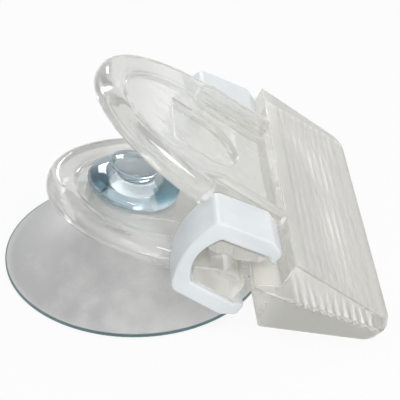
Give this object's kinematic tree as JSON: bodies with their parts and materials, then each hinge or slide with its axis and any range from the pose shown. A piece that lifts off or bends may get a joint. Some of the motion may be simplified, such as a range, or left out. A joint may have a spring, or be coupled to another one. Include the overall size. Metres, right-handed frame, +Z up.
{
  "type": "aquarium feeding clip",
  "caption": "Clear plastic spring clip with wide toothed jaws and oval finger pads, standing on a soft suction cup, for holding leaf food against aquarium glass.",
  "frame": {"origin": "centre of the suction cup's rim, on the surface it stands on", "axes": "+Z up, away from the surface; +X from the finger pads towards the jaw tips; the jaw hinge runs along Y"},
  "size_m": [0.0654, 0.0564, 0.0384],
  "materials": {
    "soft_vinyl": "soft clear vinyl with a faint blue tint, glossy",
    "clear_plastic": "clear moulded plastic, glossy, slightly warm grey in its thick parts",
    "white_plastic": "milky bluish white plastic, satin"
  },
  "bodies": {
    "cup": {"suction_cup": "soft_vinyl"},
    "clip_lower": {"lower_half": "clear_plastic", "near_spring": "white_plastic", "far_spring": "white_plastic"},
    "clip_upper": {"upper_half": "clear_plastic"}
  },
  "joints": [
    {"name": "clip_swivel", "type": "hinge", "parent": "cup", "child": "clip_lower", "pos_m": [-0.00076, 0, 0.01314], "axis": [0.2028, 0, 0.9792], "continuous": true},
    {"name": "jaw_hinge", "type": "hinge", "parent": "clip_lower", "child": "clip_upper", "pos_m": [0.0134, 0, 0.0159], "axis": [0, -1, 0], "range_deg": [0, 20], "stiffness_Nm_per_rad": 0.12, "springref_deg": -28.65, "deforming": ["near_spring", "far_spring"]}
  ]
}
